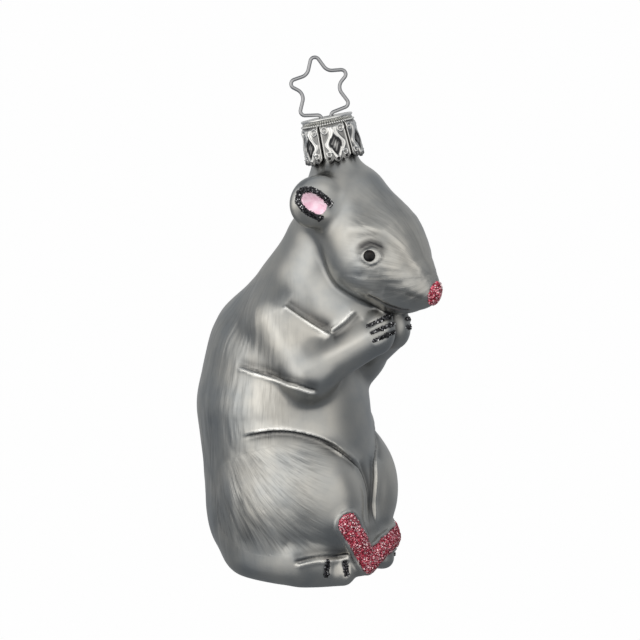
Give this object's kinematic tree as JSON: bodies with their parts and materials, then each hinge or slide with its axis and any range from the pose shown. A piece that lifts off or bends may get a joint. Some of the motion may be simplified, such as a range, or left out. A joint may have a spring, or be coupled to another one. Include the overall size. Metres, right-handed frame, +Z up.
{
  "type": "hanging glass ornament",
  "caption": "Mould-blown silvered glass rat, sitting up, that hangs by a wire loop in a pressed metal crown cap; glitter and lacquer coats.",
  "frame": {"origin": "where a hook bears, under the top of the wire loop", "axes": "+Z up as it hangs, the rat faces -Y, its right side is on -X"},
  "size_m": [0.0427, 0.061, 0.1181],
  "materials": {
    "silvered_glass": "silvered glass under satin grey lacquer",
    "bright_tin": "bright pressed tinplate",
    "bright_wire": "bright drawn wire",
    "red_glitter": "red glitter flakes in glue",
    "black_glitter": "black glitter flakes in glue",
    "pink_lacquer": "brushed pink lacquer",
    "black_gloss": "gloss black lacquer"
  },
  "bodies": {
    "figure": {"glass_figure": "silvered_glass", "nose_glitter": "red_glitter", "tail_glitter": "red_glitter", "ear_rim_glitter_right": "black_glitter", "ear_rim_glitter_left": "black_glitter", "ear_lining_right": "pink_lacquer", "ear_lining_left": "pink_lacquer", "eye_right": "black_gloss", "eye_left": "black_gloss", "finger_glitter_right_1": "black_glitter", "finger_glitter_left_1": "black_glitter", "finger_glitter_right_2": "black_glitter", "finger_glitter_left_2": "black_glitter", "finger_glitter_right_3": "black_glitter", "finger_glitter_left_3": "black_glitter", "toe_glitter_right_1": "black_glitter", "toe_glitter_left_1": "black_glitter", "toe_glitter_right_2": "black_glitter", "toe_glitter_left_2": "black_glitter"},
    "crown": {"crown_cap": "bright_tin"},
    "hanger": {"star_hanger": "bright_wire"}
  },
  "joints": [
    {"name": "crown_lift", "type": "slide", "parent": "figure", "child": "crown", "axis": [0, 0.2419, 0.9703], "range_m": [0, 0.02]},
    {"name": "hanger_turn", "type": "hinge", "parent": "crown", "child": "hanger", "pos_m": [0, 0, 0], "axis": [0, 0.2419, 0.9703], "continuous": true}
  ]
}
